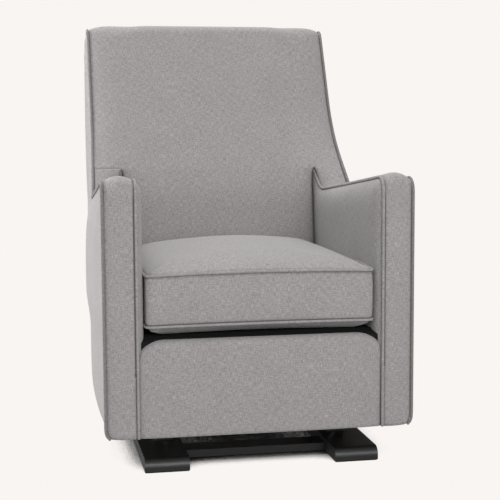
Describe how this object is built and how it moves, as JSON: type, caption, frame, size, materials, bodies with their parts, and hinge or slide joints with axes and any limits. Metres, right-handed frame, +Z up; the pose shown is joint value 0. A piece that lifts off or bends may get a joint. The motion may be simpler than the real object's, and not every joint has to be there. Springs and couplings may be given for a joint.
{
  "type": "glider nursery chair",
  "caption": "Upholstered glider nursery chair with low square arms, high back and a loose seat cushion, hung on swinging links from a flat black base.",
  "frame": {"origin": "middle of the chair's box, on the floor", "axes": "+Z up, the seat's front looks along -Y, +X is to the right as seen from the front"},
  "size_m": [0.7424, 0.8904, 1.072],
  "materials": {
    "upholstery_fabric": "matte",
    "welt_fabric": "matte",
    "black_cloth": "matte",
    "foam": "matte",
    "webbing": "matte",
    "black_wood": "satin",
    "frame_wood": "matte",
    "plywood": "matte",
    "black_steel": "satin",
    "zinc_steel": "satin",
    "spring_steel": "satin",
    "pad_rubber": "matte"
  },
  "bodies": {
    "base": {"runner_right": "black_wood", "runner_left": "black_wood", "cross_rail_front": "black_wood", "cross_rail_rear": "black_wood", "floor_pads": "pad_rubber", "base_brackets_right": "black_steel", "base_brackets_left": "black_steel", "bracket_bolts": "zinc_steel", "upper_pivot_bolts": "zinc_steel", "upper_pivot_nuts": "zinc_steel", "upper_spacers": "zinc_steel"},
    "link_front_left": {"link_front_left": "black_steel", "bearings_front_left": "zinc_steel"},
    "link_front_right": {"link_front_right": "black_steel", "bearings_front_right": "zinc_steel"},
    "link_rear_left": {"link_rear_left": "black_steel", "bearings_rear_left": "zinc_steel"},
    "link_rear_right": {"link_rear_right": "black_steel", "bearings_rear_right": "zinc_steel"},
    "chair": {"carrier_right": "black_steel", "carrier_left": "black_steel", "carrier_bolts": "zinc_steel", "lower_pivot_bolts": "zinc_steel", "lower_spacers": "zinc_steel", "side_panels": "plywood", "arm_inner_panels": "plywood", "arm_posts": "frame_wood", "arm_rails": "frame_wood", "back_posts": "frame_wood", "back_top_rail": "frame_wood", "back_lower_rail": "frame_wood", "seat_side_rails": "frame_wood", "front_rail": "frame_wood", "rear_rail": "frame_wood", "rear_stretcher": "frame_wood", "corner_blocks": "frame_wood", "seat_springs": "spring_steel", "spring_clips": "spring_steel", "back_webbing": "webbing", "deck_pad": "foam", "deck_cloth": "black_cloth", "dust_cover": "black_cloth", "arm_pads": "foam", "back_foam": "foam", "back_cover": "upholstery_fabric", "outside_back_cover": "upholstery_fabric", "apron": "upholstery_fabric", "inner_arm_welts": "welt_fabric", "side_welts": "welt_fabric", "inner_arm_cover_right": "upholstery_fabric", "inner_arm_cover_left": "upholstery_fabric", "arm_band_right": "upholstery_fabric", "arm_band_left": "upholstery_fabric", "side_cover_right": "upholstery_fabric", "side_cover_left": "upholstery_fabric"},
    "cushion": {"cushion_foam": "foam", "cushion_top": "upholstery_fabric", "cushion_boxing": "upholstery_fabric", "cushion_bottom": "upholstery_fabric", "cushion_welts": "welt_fabric"}
  },
  "joints": [
    {"name": "glide", "type": "hinge", "parent": "base", "child": "link_front_left", "pos_m": [-0.2485, -0.2372, 0.232], "axis": [1, 0, 0], "range_deg": [-22, 22]},
    {"name": "seat_pivot_front_left", "type": "hinge", "parent": "link_front_left", "child": "chair", "pos_m": [-0.2485, -0.2372, 0.104], "axis": [1, 0, 0], "range_deg": [-22, 22]},
    {"name": "swing_front_right", "type": "hinge", "parent": "base", "child": "link_front_right", "pos_m": [0.2485, -0.2372, 0.232], "axis": [1, 0, 0], "range_deg": [-22, 22]},
    {"name": "swing_rear_left", "type": "hinge", "parent": "base", "child": "link_rear_left", "pos_m": [-0.2485, 0.0428, 0.232], "axis": [1, 0, 0], "range_deg": [-22, 22]},
    {"name": "swing_rear_right", "type": "hinge", "parent": "base", "child": "link_rear_right", "pos_m": [0.2485, 0.0428, 0.232], "axis": [1, 0, 0], "range_deg": [-22, 22]},
    {"name": "cushion_lift", "type": "slide", "parent": "chair", "child": "cushion", "axis": [0, 0, 1], "range_m": [0, 0.25]}
  ],
  "couplings": [
    {"joint": "seat_pivot_front_left", "follows": "glide", "ratio": -1},
    {"joint": "swing_front_right", "follows": "glide", "ratio": 1},
    {"joint": "swing_rear_left", "follows": "glide", "ratio": 1},
    {"joint": "swing_rear_right", "follows": "glide", "ratio": 1}
  ]
}
